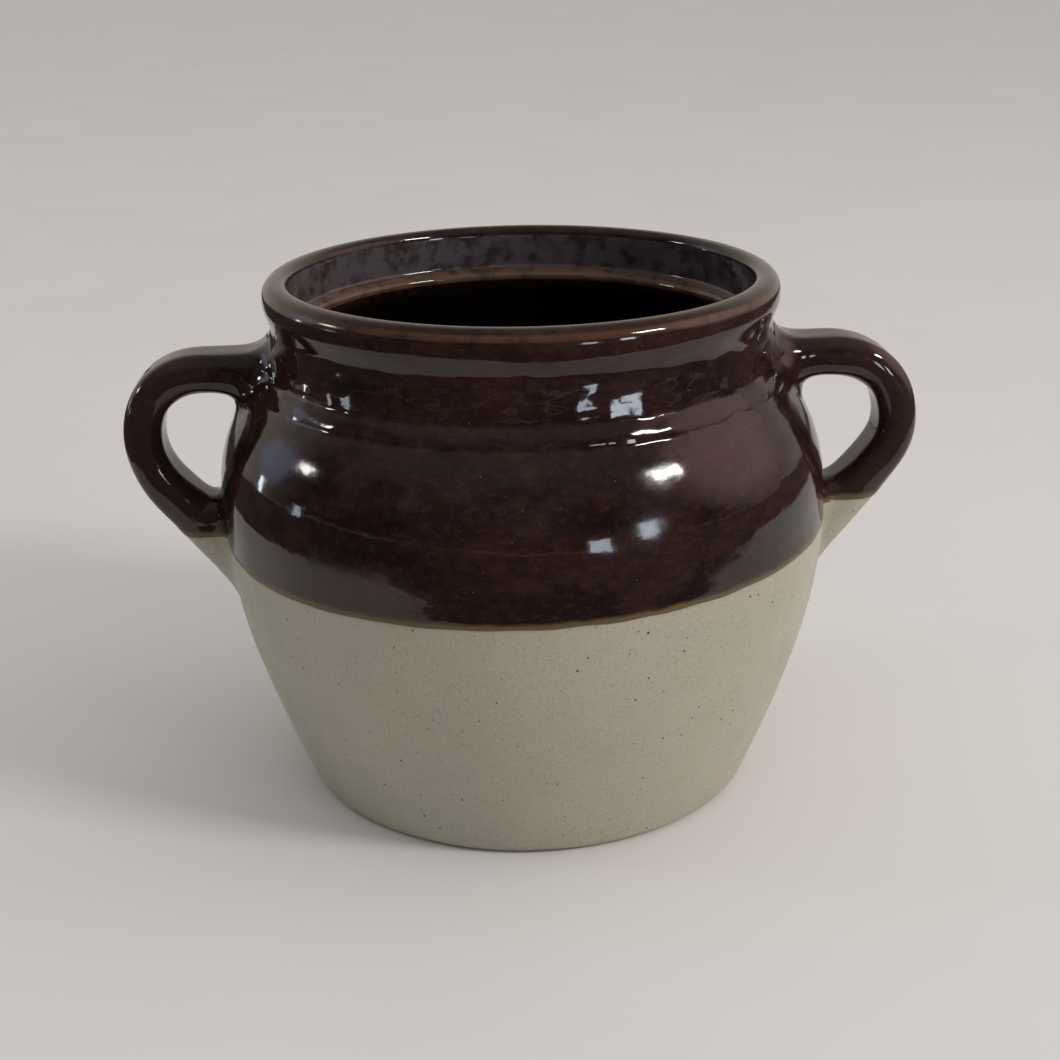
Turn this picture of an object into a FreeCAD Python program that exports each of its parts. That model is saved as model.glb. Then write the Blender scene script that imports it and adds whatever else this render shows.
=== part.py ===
import FreeCAD, Part
import Sketcher
import math
import os
import re

# Two-handled stoneware crock, open at the top, with a ledge inside the mouth for a loose lid.
# Millimetres, +Z up. The origin is the centre of the foot, and the handles lie along X.
# The clay is one turned body with two strap handles luted on; two glaze coats cover it.

Vector = FreeCAD.Vector
doc = FreeCAD.newDocument("crock")
sheet = doc.addObject("Spreadsheet::Sheet", "Sizes")

SIZES = {
    # Coats and bare foot
    "glaze_thickness": 0.4,
    "bare_foot_height": 1.6,
    "dip_height": 79.6,
    "dip_tilt_deg": 2.0,
    # Clay outside, from the foot up: radius and height of each corner, and the bend below it
    "foot_radius": 62.8,
    "heel_radius": 65.9,
    "heel_height": 2.8,
    "heel_bend": 3.2,
    "flank_radius": 80.25,
    "flank_height": 40.0,
    "flank_bend": 300.0,
    "shoulder_radius": 87.35,
    "shoulder_height": 92.0,
    "belly_bend": 138.0,
    "crease_radius": 76.3,
    "crease_height": 119.0,
    "shoulder_bend": 44.0,
    "collar_radius": 75.5,
    "collar_height": 119.9,
    "groove_radius": 72.4,
    "groove_height": 125.2,
    "collar_bend": 9.0,
    "neck_radius": 70.7,
    "neck_height": 138.0,
    "neck_bend": 70.0,
    "bead_radius": 72.5,
    "bead_height": 142.4,
    "lip_radius": 72.9,
    "lip_height": 144.4,
    "bead_bend": 5.5,
    "lip_face_height": 146.3,
    "rim_radius": 69.1,
    "rim_height": 150.1,
    "lip_bend": 3.8,
    # Clay inside, from the rim down
    "rim_inner_radius": 68.4,
    "mouth_radius": 66.2,
    "mouth_height": 147.9,
    "mouth_bend": 2.2,
    "seat_radius": 66.2,
    "seat_height": 137.6,
    "ledge_radius": 64.0,
    "ledge_height": 136.5,
    "throat_radius": 62.4,
    "throat_height": 135.4,
    "ledge_bend": 1.5,
    "inner_collar_radius": 65.2,
    "inner_collar_height": 127.0,
    "inner_crease_radius": 68.0,
    "inner_crease_height": 118.0,
    "inner_shoulder_radius": 80.0,
    "inner_shoulder_height": 91.2,
    "inner_shoulder_bend": 48.0,
    "inner_flank_radius": 74.5,
    "inner_flank_height": 42.3,
    "inner_belly_bend": 111.0,
    "inner_heel_radius": 63.9,
    "inner_heel_height": 16.0,
    "inner_flank_bend": 293.0,
    "floor_radius": 56.5,
    "floor_thickness": 9.0,
    "inner_heel_bend": 8.0,
    # Strap handles: a run out from the collar, a round bend and a tail down to the belly
    "strap_thickness": 10.2,
    "strap_width": 18.0,
    "strap_corner": 3.8,
    "bend_centre_radius": 90.3,
    "bend_centre_height": 104.5,
    "bend_radius": 19.8,
    "tail_angle_deg": 36.6,
    "tail_length": 9.0,
    "upper_root_radius": 70.8,
    "upper_root_height": 122.8,
    "upper_root_turn_deg": 71.0,
    "lower_root_radius": 84.3,
    "lower_root_height": 69.6,
    "lower_root_length": 28.0,
    # A ring that reaches from the middle of the wall outwards, round all that is dipped pale
    "ring_reach": 140.0,
    "ring_top_radius": 83.4,
    "ring_top_height": 95.0,
    "ring_flank_radius": 77.7,
    "ring_heel_radius": 67.5,
    # The slab that takes the glaze off the foot
    "foot_slab_depth": 10.0,
}
for row, (name, size) in enumerate(SIZES.items(), start=1):
    sheet.set(f"A{row}", name)
    sheet.set(f"B{row}", str(size))
    sheet.setAlias(f"B{row}", name)
doc.recompute()


def bound(formula):
    """The formula with each size's name turned into a link to its cell."""
    return re.sub(r"[a-z_]+", lambda word: f"Sizes.{word[0]}" if word[0] in SIZES else word[0], formula)


def origin_plane(body, role):
    return next(f for f in body.Origin.OriginFeatures if f.Role == role)


def attach(sketch, body, role):
    sketch.AttachmentSupport = [(origin_plane(body, role), "")]
    sketch.MapMode = "FlatFace"


def arc_centre(start, end, bend, hollow):
    """The centre of the arc from start to end, to the left of it, or to the right if hollow."""
    chord = end - start
    rise = math.sqrt(bend * bend - (chord.Length / 2) ** 2)
    left = Vector(-chord.y, chord.x, 0).normalize()
    return (start + end) / 2 + left * (-rise if hollow else rise)


def outward(point, centre, start, end, hollow):
    """The unit normal that points out of the clay, at a point on one stretch of the outline."""
    if centre is None:
        along = end - start
        return Vector(along.y, -along.x, 0).normalize()
    return (centre - point if hollow else point - centre).normalize()


def turned_outline(sketch, corners, coat):
    """Draws a closed outline of radius and height, grown outwards by the coat where there is one.
    A corner is (radius, height, bend, hollow). Bend names the radius of the arc that leads to it,
    or is None for a straight line. The outline keeps the clay on its left."""
    grow = SIZES[coat] if coat else 0.0
    count = len(corners)
    points = [Vector(SIZES.get(r, 0.0), SIZES.get(h, 0.0), 0) for r, h, _, _ in corners]
    centres = [bend and arc_centre(points[i - 1], points[i], SIZES[bend], hollow)
               for i, (_, _, bend, hollow) in enumerate(corners)]
    shifts = []
    for i in range(count):
        after = (i + 1) % count
        before_normal = outward(points[i], centres[i], points[i - 1], points[i], corners[i][3])
        after_normal = outward(points[i], centres[after], points[i], points[after], corners[after][3])
        on_axis = corners[i][0] is None
        if on_axis:
            level_normal = max(before_normal, after_normal, key=lambda n: abs(n.y))
            shifts.append(level_normal)
        else:
            both = before_normal + after_normal
            shifts.append(both / (1 + before_normal.dot(after_normal)))
    grown = [point + shift * grow for point, shift in zip(points, shifts)]
    ends = []
    for i, (_, _, bend, hollow) in enumerate(corners):
        start, end = grown[i - 1], grown[i]
        clockwise = bool(bend) and hollow
        ends.append((2, 1) if clockwise else (1, 2))
        if bend is None:
            sketch.addGeometry(Part.LineSegment(start, end))
            continue
        radius = SIZES[bend] + (-grow if hollow else grow)
        centre = arc_centre(start, end, radius, hollow)
        first, last = (end, start) if clockwise else (start, end)
        angles = [math.atan2(p.y - centre.y, p.x - centre.x) for p in (first, last)]
        sketch.addGeometry(Part.ArcOfCircle(Part.Circle(centre, Vector(0, 0, 1), radius), *angles))
    for i, (r, h, bend, hollow) in enumerate(corners):
        after = (i + 1) % count
        end = ends[i][1]
        sketch.addConstraint(Sketcher.Constraint("Coincident", i, end, after, ends[after][0]))
        if bend:
            change = f" {'-' if hollow else '+'} {coat}" if coat else ""
            fix(sketch, ("Radius", i, SIZES[bend]), bend + change)
        if r is None:
            sketch.addConstraint(Sketcher.Constraint("PointOnObject", i, end, -2))
        else:
            fix(sketch, ("DistanceX", -1, 1, i, end, grown[i].x), grown_formula(r, shifts[i].x, coat))
        if h is None and not coat:
            sketch.addConstraint(Sketcher.Constraint("PointOnObject", i, end, -1))
        else:
            fix(sketch, ("DistanceY", -1, 1, i, end, grown[i].y), grown_formula(h, shifts[i].y, coat))


def grown_formula(size, shift, coat):
    """A size that moves with the coat's thickness, by its share along this axis."""
    return f"{size or 0} + {coat} * ({shift:.4f})" if coat else size


def fix(sketch, constraint, formula):
    """Adds a dimension and binds it to the sheet."""
    index = sketch.addConstraint(Sketcher.Constraint(*constraint))
    sketch.setExpression(f"Constraints[{index}]", bound(formula))


def turned_body(name, corners, coat=None):
    """A body turned about Z from one outline."""
    body = doc.addObject("PartDesign::Body", name)
    sketch = body.newObject("Sketcher::SketchObject", name + "_outline")
    attach(sketch, body, "XZ_Plane")
    turned_outline(sketch, corners, coat)
    turn = body.newObject("PartDesign::Revolution", name + "_turned")
    turn.Profile = sketch
    turn.ReferenceAxis = (sketch, ["V_Axis"])
    turn.Angle = 360.0
    sketch.Visibility = False
    return body


CLAY = [
    (None, None, None, False),
    ("foot_radius", None, None, False),
    ("heel_radius", "heel_height", "heel_bend", False),
    ("flank_radius", "flank_height", "flank_bend", False),
    ("shoulder_radius", "shoulder_height", "belly_bend", False),
    ("crease_radius", "crease_height", "shoulder_bend", False),
    ("collar_radius", "collar_height", None, False),
    ("groove_radius", "groove_height", "collar_bend", False),
    ("neck_radius", "neck_height", "neck_bend", True),
    ("bead_radius", "bead_height", None, False),
    ("lip_radius", "lip_height", "bead_bend", False),
    ("lip_radius", "lip_face_height", None, False),
    ("rim_radius", "rim_height", "lip_bend", False),
    ("rim_inner_radius", "rim_height", None, False),
    ("mouth_radius", "mouth_height", "mouth_bend", False),
    ("seat_radius", "seat_height", None, False),
    ("ledge_radius", "ledge_height", None, False),
    ("throat_radius", "throat_height", "ledge_bend", False),
    ("inner_collar_radius", "inner_collar_height", None, False),
    ("inner_crease_radius", "inner_crease_height", None, False),
    ("inner_shoulder_radius", "inner_shoulder_height", "inner_shoulder_bend", True),
    ("inner_flank_radius", "inner_flank_height", "inner_belly_bend", True),
    ("inner_heel_radius", "inner_heel_height", "inner_flank_bend", True),
    ("floor_radius", "floor_thickness", "inner_heel_bend", True),
    (None, "floor_thickness", None, False),
]
crock_body = turned_body("crock_body", CLAY)
glazed_pot = turned_body("glazed_pot", CLAY, "glaze_thickness")
doc.recompute()

# Each strap is lofted through rounded sections that stand square to its path. A station is
# (radius, height, turn of the section in degrees, thickness, width) as formulas of the sheet.
TAIL_X = "bend_centre_radius + bend_radius * cos(tail_angle_deg) - tail_length * sin(tail_angle_deg)"
TAIL_Z = "bend_centre_height - bend_radius * sin(tail_angle_deg) - tail_length * cos(tail_angle_deg)"


def bend_station(polar, thickness):
    """A station on the round bend, at a polar angle about the centre of the bend."""
    radius = f"bend_centre_radius + bend_radius * cos({polar})"
    height = f"bend_centre_height + bend_radius * sin({polar})"
    return radius, height, f"180 - ({polar})", thickness, "strap_width"


STATIONS = [
    ("upper_root_radius", "upper_root_height", "upper_root_turn_deg", "strap_thickness * 1.6",
     "strap_width * 1.30"),
    ("upper_root_radius + 8", "bend_centre_height + bend_radius", "90", "strap_thickness * 1.18",
     "strap_width * 1.08"),
    bend_station("90", "strap_thickness * 1.04"),
    bend_station("60", "strap_thickness * 0.98"),
    bend_station("30", "strap_thickness * 0.97"),
    bend_station("0", "strap_thickness"),
    bend_station("-1 * tail_angle_deg", "strap_thickness * 1.05"),
    (TAIL_X, TAIL_Z, "180 + tail_angle_deg", "strap_thickness * 1.15", "strap_width"),
    ("lower_root_radius", "lower_root_height", "270", "lower_root_length", "strap_width * 1.05"),
]


def rounded_rectangle(sketch, thickness, width, corner):
    """A closed rounded rectangle about the sketch's origin, thickness along x and width along y."""
    x, y = SIZES["strap_thickness"] / 2, SIZES["strap_width"] / 2
    bend = SIZES["strap_corner"]
    up = Vector(0, 0, 1)
    corners = [(x - bend, bend - y), (x - bend, y - bend), (bend - x, y - bend), (bend - x, bend - y)]
    for i, (cx, cy) in enumerate(corners):
        start = (i - 1) * math.pi / 2
        along = [Vector(px + bend * math.cos(start), py + bend * math.sin(start), 0)
                 for px, py in (corners[i - 1], (cx, cy))]
        sketch.addGeometry(Part.LineSegment(*along))
        arc_circle = Part.Circle(Vector(cx, cy, 0), up, bend)
        sketch.addGeometry(Part.ArcOfCircle(arc_circle, start, start + math.pi / 2))
    for i in range(8):
        sketch.addConstraint(Sketcher.Constraint("Tangent", i, 2, (i + 1) % 8, 1))
    for i in (0, 4):
        sketch.addConstraint(Sketcher.Constraint("Horizontal", i))
        sketch.addConstraint(Sketcher.Constraint("Vertical", i + 2))
    for i in (3, 5, 7):
        sketch.addConstraint(Sketcher.Constraint("Equal", 1, i))
    sketch.addConstraint(Sketcher.Constraint("Symmetric", 0, 1, 4, 1, -1, 1))
    fix(sketch, ("DistanceX", 6, 1, 2, 1, 2 * x), thickness)
    fix(sketch, ("DistanceY", 0, 1, 4, 1, 2 * y), width)
    fix(sketch, ("Radius", 1, bend), corner)


def strap_section(body, name, station, inset):
    """A rounded rectangle on its own tilted plane, made smaller all round by the inset formula."""
    radius, height, turn, thickness, width = station
    sketch = body.newObject("Sketcher::SketchObject", name)
    attach(sketch, body, "XY_Plane")
    sketch.AttachmentOffset = FreeCAD.Placement(Vector(0, 0, 0), FreeCAD.Rotation(Vector(0, 1, 0), 90))
    sketch.setExpression("AttachmentOffset.Base.x", bound(radius))
    sketch.setExpression("AttachmentOffset.Base.z", bound(height))
    sketch.setExpression("AttachmentOffset.Rotation.Angle", bound(turn))
    rounded_rectangle(sketch, f"{thickness} - 2 * {inset}", f"{width} - 2 * {inset}",
                      f"strap_corner - {inset}")
    sketch.Visibility = False
    return sketch


def strap(name, inset):
    """The strap on the +X side, from inside the collar wall to inside the belly wall."""
    body = doc.addObject("PartDesign::Body", name)
    sections = [strap_section(body, f"{name}_section_{i}", station, inset)
                for i, station in enumerate(STATIONS)]
    loft = body.newObject("PartDesign::AdditiveLoft", name + "_loft")
    loft.Profile = sections[0]
    loft.Sections = sections[1:]
    return body


def mirrored(name, source):
    """The same shape on the -X side."""
    mirror = doc.addObject("Part::Mirroring", name)
    mirror.Source = source
    mirror.Normal = (1, 0, 0)
    return mirror


def cut(name, base, tool):
    piece = doc.addObject("Part::Cut", name)
    piece.Base = base
    piece.Tool = tool
    return piece


def common(name, first, second):
    piece = doc.addObject("Part::MultiCommon", name)
    piece.Shapes = [first, second]
    return piece


clay_straps = [strap("right_clay_strap", "glaze_thickness")]
clay_straps.append(mirrored("left_clay_strap", clay_straps[0]))
glazed_straps = [strap("right_glazed_strap", "0")]
glazed_straps.append(mirrored("left_glazed_strap", glazed_straps[0]))

# The handles end on the clay wall, where they are luted on.
right_handle = cut("right_handle", clay_straps[0], crock_body)
left_handle = cut("left_handle", clay_straps[1], crock_body)

# The coats are what the glazed outside adds to the clay. Glaze stops short of the bare foot.
glazed_crock = doc.addObject("Part::MultiFuse", "glazed_crock")
glazed_crock.Shapes = [glazed_pot, *glazed_straps]
all_clay = doc.addObject("Part::MultiFuse", "all_clay")
all_clay.Shapes = [crock_body, *clay_straps]
whole_coat = cut("whole_coat", glazed_crock, all_clay)

# Wider than the crock, for the tools that cut right across it.
SPAN = 300.0
foot_slab = doc.addObject("Part::Box", "foot_slab")
foot_slab.Length = foot_slab.Width = SPAN
foot_slab.Placement.Base = Vector(-SPAN / 2, -SPAN / 2, 0)
foot_slab.setExpression("Height", bound("bare_foot_height + foot_slab_depth"))
foot_slab.setExpression("Placement.Base.z", bound("-1 * foot_slab_depth"))
footless_coat = cut("footless_coat", whole_coat, foot_slab)

# The pale glaze lies outside the wall only, up to the slightly tilted line of the second dip.
# This ring starts in the middle of the wall, so that the inside of the crock stays brown.
wall_ring = turned_body("wall_ring", [
    ("foot_radius", "bare_foot_height", None, False),
    ("ring_reach", "bare_foot_height", None, False),
    ("ring_reach", "ring_top_height", None, False),
    ("ring_top_radius", "ring_top_height", None, False),
    ("ring_flank_radius", "flank_height", None, False),
    ("ring_heel_radius", "inner_heel_height", None, False),
])
TILT_AXIS = Vector(-0.66, 0.75, 0)
under_dip = doc.addObject("Part::Cylinder", "under_dip")
under_dip.Radius = under_dip.Height = SPAN
under_dip.Placement.Rotation = FreeCAD.Rotation(TILT_AXIS, 180)
under_dip.setExpression("Placement.Base.z", bound("dip_height"))
under_dip.setExpression("Placement.Rotation.Angle", bound("180 - dip_tilt_deg"))
dip_zone = common("dip_zone", wall_ring, under_dip)
buff_glaze = common("buff_glaze", footless_coat, dip_zone)
brown_glaze = cut("brown_glaze", footless_coat, dip_zone)
doc.recompute()

NODES = [crock_body, left_handle, right_handle, brown_glaze, buff_glaze]
failed = [o.Label for o in doc.Objects if {"Invalid", "Error"} & set(o.State)]
if failed:
    raise RuntimeError(f"not made: {failed}")
os.makedirs("parts", exist_ok=True)
for node in NODES:
    shape = node.Shape
    if shape.isNull() or not shape.isValid():
        raise RuntimeError(f"{node.Label} is not a valid shape")
    print(f"{node.Label}: {len(shape.Solids)} solid, {shape.Volume / 1000:.1f} cm3")
for node in NODES:
    node.Shape.exportStep(f"parts/{node.Label}.step")
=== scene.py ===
import math
import bmesh
import bpy
import numpy as np
from mathutils import Matrix, Vector


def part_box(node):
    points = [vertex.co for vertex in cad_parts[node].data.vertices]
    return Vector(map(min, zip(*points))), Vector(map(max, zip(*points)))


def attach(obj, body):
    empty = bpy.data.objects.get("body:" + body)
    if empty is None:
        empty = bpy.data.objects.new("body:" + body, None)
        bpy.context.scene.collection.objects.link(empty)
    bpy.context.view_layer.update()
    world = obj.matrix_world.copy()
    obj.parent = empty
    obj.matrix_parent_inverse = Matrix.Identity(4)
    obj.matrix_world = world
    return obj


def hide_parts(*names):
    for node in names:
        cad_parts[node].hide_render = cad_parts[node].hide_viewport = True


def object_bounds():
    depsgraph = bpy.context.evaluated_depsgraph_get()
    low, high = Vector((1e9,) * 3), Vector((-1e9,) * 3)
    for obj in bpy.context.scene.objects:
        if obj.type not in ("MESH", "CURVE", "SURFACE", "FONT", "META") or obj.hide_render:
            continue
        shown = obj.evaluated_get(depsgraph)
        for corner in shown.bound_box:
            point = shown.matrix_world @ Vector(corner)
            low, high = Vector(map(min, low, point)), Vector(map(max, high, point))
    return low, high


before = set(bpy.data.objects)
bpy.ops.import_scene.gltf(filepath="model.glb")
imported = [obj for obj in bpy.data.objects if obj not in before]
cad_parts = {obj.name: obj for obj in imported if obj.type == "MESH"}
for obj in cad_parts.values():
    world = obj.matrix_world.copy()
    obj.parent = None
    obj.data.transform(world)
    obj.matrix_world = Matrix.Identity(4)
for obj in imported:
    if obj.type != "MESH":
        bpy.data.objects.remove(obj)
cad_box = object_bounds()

# A two-handled stoneware crock. The clay is a turned body and two straps; a dark brown coat of
# glaze covers the inside and the upper half, and a buff coat covers the lower half.
# Shapes are worked out in millimetres in the frame of the CAD model, and written in metres.
MM = 0.001

# ---------------------------------------------------------------- sizes taken from the frame
HIGH = np.array(cad_box[1]) / MM
RIM_TOP = HIGH[2]
REACH = HIGH[0]                                # the handles' furthest point from the axis
BELLY = HIGH[1]                                # the belly's largest radius
FOOT_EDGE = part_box("buff_glaze")[0][2] / MM    # where the glaze stops above the bare foot
COAT = RIM_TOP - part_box("crock_body")[1][2] / MM    # thickness of the glaze
UNDER_COAT = COAT + 0.25                       # how far the clay's own surface lies under the glaze
COAT_DEPTH = 0.45                              # how far a coat's back lies under its face
BOX_GAP = 0.05                                 # what the visual model leaves free inside the CAD box
CLAY_FOOT = 63.5                               # radius of the flat bare foot

DIP_HEIGHT = 79.6                              # the dip line at the axis
DIP_SLOPE = np.array([0.0262, 0.0231])         # its rise per millimetre along X and Y


# ---------------------------------------------------------------- the turned outline
# Clay corners as (radius, height, bend, hollow). Bend is the radius of the arc that leads there.
OUTSIDE = [
    (CLAY_FOOT, 0.0, None, False),
    (65.9, 2.2, 2.6, False),
    (80.0, 40.0, 420.0, False),
    (87.1, 92.0, 138.0, False),
    (76.3, 119.0, 44.0, False),
    (75.5, 119.9, None, False),
    (72.4, 125.2, 9.0, False),
    (70.7, 138.0, 70.0, True),
    (72.5, 142.4, None, False),
    (72.9, 144.4, 5.5, False),
    (72.9, 146.3, None, False),
    (69.1, 150.1, 3.8, False),
    (68.4, 150.1, None, False),
    (66.2, 147.9, 2.2, False),
    (66.2, 137.6, None, False),
    (64.0, 136.5, None, False),
    (62.4, 135.4, 1.5, False),
    (65.2, 127.0, None, False),
    (68.0, 118.0, None, False),
    (80.0, 91.2, 48.0, True),
    (74.5, 42.3, 111.0, True),
    (63.9, 16.0, 293.0, True),
    (56.5, 9.0, 8.0, True),
    (0.0, 9.0, None, False),
]


def arc_points(start, end, bend, hollow, step):
    """Points along one stretch of the outline, without its start."""
    start, end = np.array(start), np.array(end)
    chord = end - start
    length = np.hypot(*chord)
    count = max(2, int(length / step))
    share = np.linspace(0.0, 1.0, count + 1)[1:, None]
    if bend is None:
        return start + share * chord
    left = np.array([-chord[1], chord[0]]) / length
    rise = math.sqrt(bend * bend - length * length / 4)
    centre = (start + end) / 2 + left * (-rise if hollow else rise)
    first, last = (math.atan2(*(p - centre)[::-1]) for p in (start, end))
    turn = (last - first + math.pi) % (2 * math.pi) - math.pi
    angle = first + share[:, 0] * turn
    return centre + bend * np.stack([np.cos(angle), np.sin(angle)], axis=1)


def resampled(points, step):
    """The polyline with points at even steps along it."""
    along = np.concatenate([[0.0], np.cumsum(np.hypot(*np.diff(points, axis=0).T))])
    at = np.linspace(0.0, along[-1], int(along[-1] / step) + 1)
    return np.stack([np.interp(at, along, points[:, i]) for i in (0, 1)], axis=1)


def softened(points, spread):
    """The evenly stepped polyline with its corners rounded, as glaze rounds them."""
    reach = int(4 * spread)
    weights = np.exp(-0.5 * (np.arange(-reach, reach + 1) / spread) ** 2)
    weights /= weights.sum()
    before = 2 * points[0] - points[reach:0:-1]
    after = points[-2:-reach - 2:-1] * (-1, 1)
    padded = np.concatenate([before, points, after])
    return np.stack([np.convolve(padded[:, i], weights, "valid") for i in (0, 1)], axis=1)


def outline_normals(points):
    """Unit normals on the outline's right-hand side, which is the side away from the clay."""
    along = np.gradient(points, axis=0)
    along /= np.hypot(*along.T)[:, None]
    return np.stack([along[:, 1], -along[:, 0]], axis=1)


STEP = 0.1                                     # spacing of the outline's points
EDGE_SPREAD = 5.0                              # rounding of its corners, in steps
chain = [np.array([OUTSIDE[0][:2]])]
for before, after in zip(OUTSIDE, OUTSIDE[1:]):
    chain.append(arc_points(before[:2], after[:2], after[2], after[3], STEP))
clay_line = softened(resampled(np.concatenate(chain), STEP), EDGE_SPREAD)
clay_normals = outline_normals(clay_line)
glazed_line = clay_line + clay_normals * COAT
glazed_line[-1, 0] = 0.0
glazed_normals = outline_normals(glazed_line)
ALONG = np.concatenate([[0.0], np.cumsum(np.hypot(*np.diff(glazed_line, axis=0).T))])
TOP_INDEX = int(np.argmax(glazed_line[:, 1]))
OUTER_LINE = glazed_line[:TOP_INDEX + 1]


def outline_at(along):
    """Radius, height and outward normal at distances along the glazed outline."""
    radius, height = (np.interp(along, ALONG, glazed_line[:, i]) for i in (0, 1))
    normal = np.stack([np.interp(along, ALONG, glazed_normals[:, i]) for i in (0, 1)], axis=-1)
    return radius, height, normal / np.linalg.norm(normal, axis=-1, keepdims=True)


def along_outside(height):
    """The distance along the outline at which its outside reaches a height."""
    return np.interp(height, OUTER_LINE[:, 1], ALONG[:TOP_INDEX + 1])


def along_inside(height):
    """The distance along the outline at which its inside first falls below a height."""
    return float(ALONG[TOP_INDEX + np.argmax(glazed_line[TOP_INDEX:, 1] < height)])


# ---------------------------------------------------------------- the hand-made unevenness
def waves(seed, count, cycles, heights, size):
    """Smooth random waves over angle and height: rows of (cycles, 1 / height, phase, size)."""
    rng = np.random.default_rng(seed)
    rows = np.stack([
        rng.integers(cycles[0], cycles[1] + 1, count) * rng.choice([-1, 1], count),
        2 * np.pi / rng.uniform(*heights, count),
        rng.uniform(0, 2 * np.pi, count),
        rng.uniform(0.4, 1.0, count)], axis=1)
    rows[:, 3] *= size / np.sqrt((rows[:, 3] ** 2).sum() / 2)
    return rows


def wave_height(rows, angle, height):
    """The sum of the waves at a place."""
    total = 0.0
    for cycles, rate, phase, size in rows:
        total = total + size * np.sin(cycles * angle + rate * height + phase)
    return total


BODY_WAVES = waves(11, 14, (2, 9), (30, 120), 0.09)
COLLAR_WAVES = waves(12, 26, (6, 48), (5, 30), 0.085)
RING_WAVES = waves(13, 8, (0, 2), (2.5, 9), 0.030)
EDGE_WAVES = waves(14, 22, (3, 40), (1e3, 1e4), 0.12)
LEAN = 0.8                                     # how far the shoulder sits off centre, towards -X


def band(value, low, high, soft):
    """1 between low and high, 0 outside, with soft edges."""
    def step(x):
        x = np.clip(x, 0.0, 1.0)
        return x * x * (3 - 2 * x)
    return step((value - low) / soft) * step((high - value) / soft)


def unevenness(angle, height):
    """How far the outside stands from its turned outline, in millimetres."""
    collar = band(height, 116, 143, 6)
    total = wave_height(BODY_WAVES, angle, height) * band(height, 4, 130, 12)
    total += wave_height(COLLAR_WAVES, angle, height) * collar
    total += wave_height(RING_WAVES, angle, height) * band(height, 119, 141, 3)
    return total - LEAN * np.cos(angle) * band(height, 76, 128, 18)


# ---------------------------------------------------------------- the straps
def smooth_through(knots, values, at):
    """A natural cubic spline through the values at the knots."""
    knots, values = np.asarray(knots, float), np.asarray(values, float)
    gap = np.diff(knots)
    slope = np.diff(values) / gap
    count = len(knots)
    system, right = np.eye(count), np.zeros(count)
    for i in range(1, count - 1):
        system[i, i - 1:i + 2] = gap[i - 1], 2 * (gap[i - 1] + gap[i]), gap[i]
        right[i] = 6 * (slope[i] - slope[i - 1])
    curve = np.linalg.solve(system, right)
    i = np.clip(np.searchsorted(knots, at) - 1, 0, count - 2)
    left, over = at - knots[i], knots[i + 1] - at
    cubic = (curve[i] * over ** 3 + curve[i + 1] * left ** 3) / (6 * gap[i])
    straight = (values[i] / gap[i] - curve[i] * gap[i] / 6) * over
    return cubic + straight + (values[i + 1] / gap[i] - curve[i + 1] * gap[i] / 6) * left


BEND_RADIUS = 19.8
BEND_HEIGHT = 104.4
TAIL_TURN = math.radians(36.6)
# Places on the run out from the collar: radius, height, thickness, width.
STRAP_RUN = [(60.0, 123.8, 12.6, 21.5), (68.0, 124.1, 12.2, 21.0), (76.0, 124.2, 11.6, 19.8),
             (84.0, 124.2, 11.3, 19.0)]
# Round the bend: polar angle about its centre, thickness.
STRAP_BEND = [(90, 11.4), (65, 11.2), (40, 11.1), (15, 11.2), (-10, 11.3)]
STRAP_BEND_WIDTH = 18.6
# Down the tail: distance from the bend, thickness, width. The tail grows towards the pot.
STRAP_TAIL = [(0, 11.5, 18.6), (10, 12.4, 18.3), (20, 14.2, 17.5), (30, 16.2, 16.0), (41, 18.0, 13.8),
              (52, 19.2, 12.2)]
ROUND_SHARE = 0.86                             # how much of the smaller half-size the corners take
BATCH = 4000                                   # points whose distances are worked out at a time


def strap_stations(reach, rise, square, tail):
    """Stations from inside the collar wall to inside the belly wall. Each strap was pulled and bent
    by hand: reach and rise place its bend, square pushes out the bend's upper corner, and tail is
    the distance from the bend's middle line to the tail's outer face."""
    centre = np.array([reach, BEND_HEIGHT + rise])
    run_start, run_end = STRAP_RUN[0][0], STRAP_RUN[-1][0]
    stations = [(x, z + rise * (x - run_start) / (run_end - run_start), thick, wide)
                for x, z, thick, wide in STRAP_RUN]
    for degrees, thickness in STRAP_BEND:
        polar = math.radians(degrees)
        radius = BEND_RADIUS + square * max(0.0, math.sin(2 * polar)) ** 2
        spot = centre + radius * np.array([math.cos(polar), math.sin(polar)])
        stations.append((*spot, thickness, STRAP_BEND_WIDTH))
    outward = np.array([math.cos(TAIL_TURN), -math.sin(TAIL_TURN)])
    down = np.array([-math.sin(TAIL_TURN), -math.cos(TAIL_TURN)])
    for distance, thickness, width in STRAP_TAIL:
        middle = BEND_RADIUS + tail - thickness / 2
        stations.append((*(centre + outward * middle + down * distance), thickness, width))
    return np.array(stations)


def rounded_distance(across, sideways, thick, wide, corner):
    """Distance from a rounded rectangle's edge, negative inside it."""
    a = np.abs(across) - (thick / 2 - corner)
    b = np.abs(sideways) - (wide / 2 - corner)
    outside = np.hypot(np.maximum(a, 0), np.maximum(b, 0))
    return outside + np.minimum(np.maximum(a, b), 0) - corner


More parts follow.
